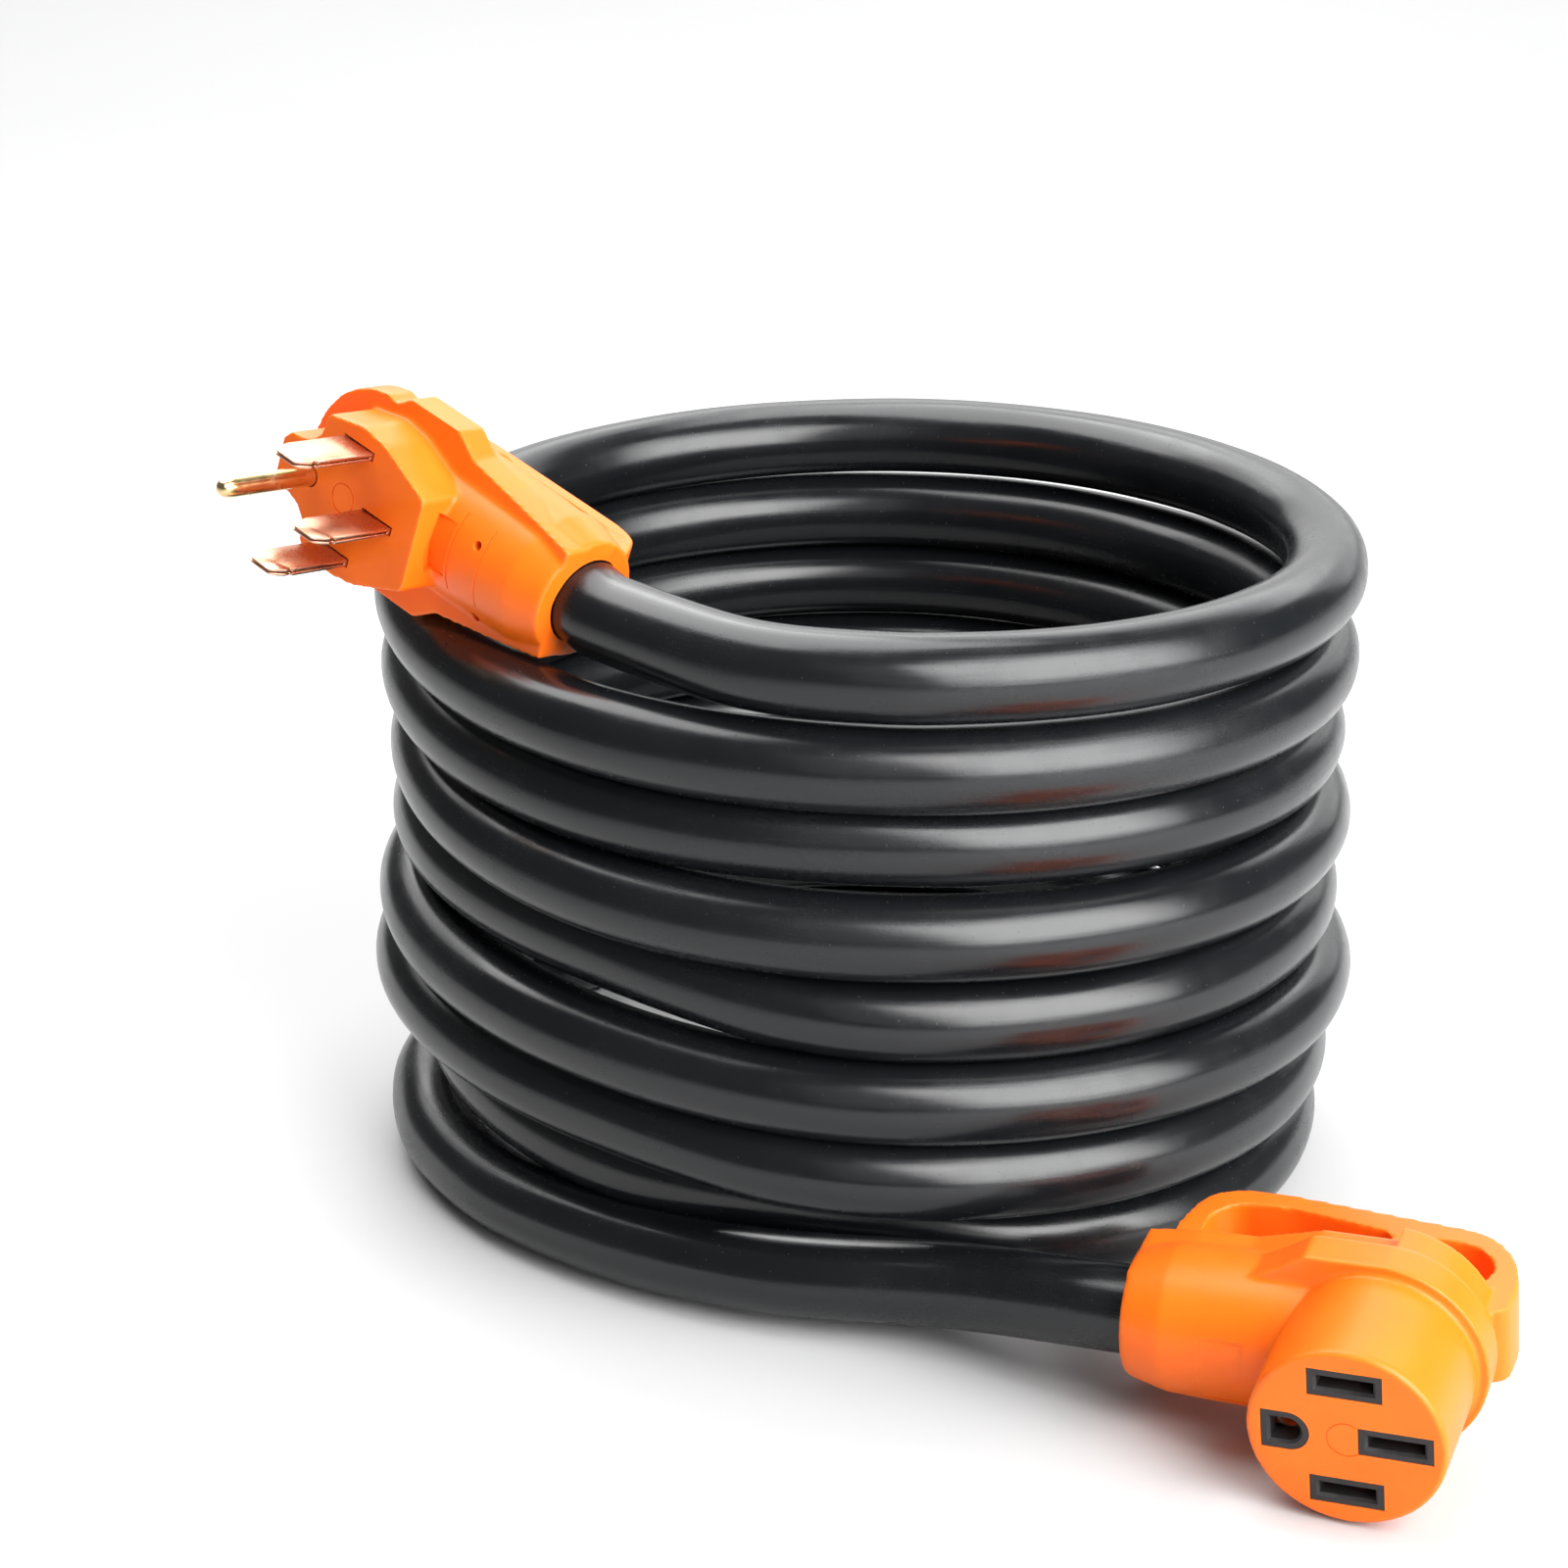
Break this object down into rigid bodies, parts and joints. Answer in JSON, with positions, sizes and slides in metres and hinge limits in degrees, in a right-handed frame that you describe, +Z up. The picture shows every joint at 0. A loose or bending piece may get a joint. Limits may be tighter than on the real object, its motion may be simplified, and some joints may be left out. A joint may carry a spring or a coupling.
{
  "type": "shore power cord",
  "caption": "Coiled heavy four-conductor shore power cord with a moulded right-angle plug and connector, each with a finger grip",
  "frame": {"origin": "centre of the bottom of the box round the plug and connector, on the floor", "axes": "+Z up, +X from the plug towards the connector, +Y from the connector back towards the coil"},
  "size_m": [0.3748, 0.4185, 0.2691],
  "materials": {
    "orange_pvc": "satin moulded vinyl, bright orange",
    "black_jacket": "semi-gloss extruded jacket",
    "grey_insulator": "matte moulded insulator",
    "copper": "bright copper",
    "brass": "polished turned pin",
    "red_insulation": "extruded insulation",
    "black_insulation": "extruded insulation",
    "white_insulation": "extruded insulation",
    "green_insulation": "extruded insulation"
  },
  "bodies": {
    "root": {"connector_carrier": "grey_insulator", "connector_carrier_back": "grey_insulator", "connector_contact_ground": "copper", "connector_contact_neutral": "copper", "connector_contact_x": "copper", "connector_contact_y": "copper", "connector_overmould": "orange_pvc", "connector_strands_ground": "copper", "connector_strands_neutral": "copper", "connector_strands_x": "copper", "connector_strands_y": "copper", "connector_wire_ground": "green_insulation", "connector_wire_neutral": "white_insulation", "connector_wire_x": "red_insulation", "connector_wire_y": "black_insulation", "cord_coil": "black_jacket", "cord_connector_lead": "black_jacket", "cord_plug_lead": "black_jacket", "plug_blade_neutral": "copper", "plug_blade_x": "copper", "plug_blade_y": "copper", "plug_core": "grey_insulator", "plug_ground_pin": "brass", "plug_overmould": "orange_pvc", "plug_strands_ground": "copper", "plug_strands_neutral": "copper", "plug_strands_x": "copper", "plug_strands_y": "copper", "plug_wire_ground": "green_insulation", "plug_wire_neutral": "white_insulation", "plug_wire_x": "red_insulation", "plug_wire_y": "black_insulation"}
  },
  "joints": []
}
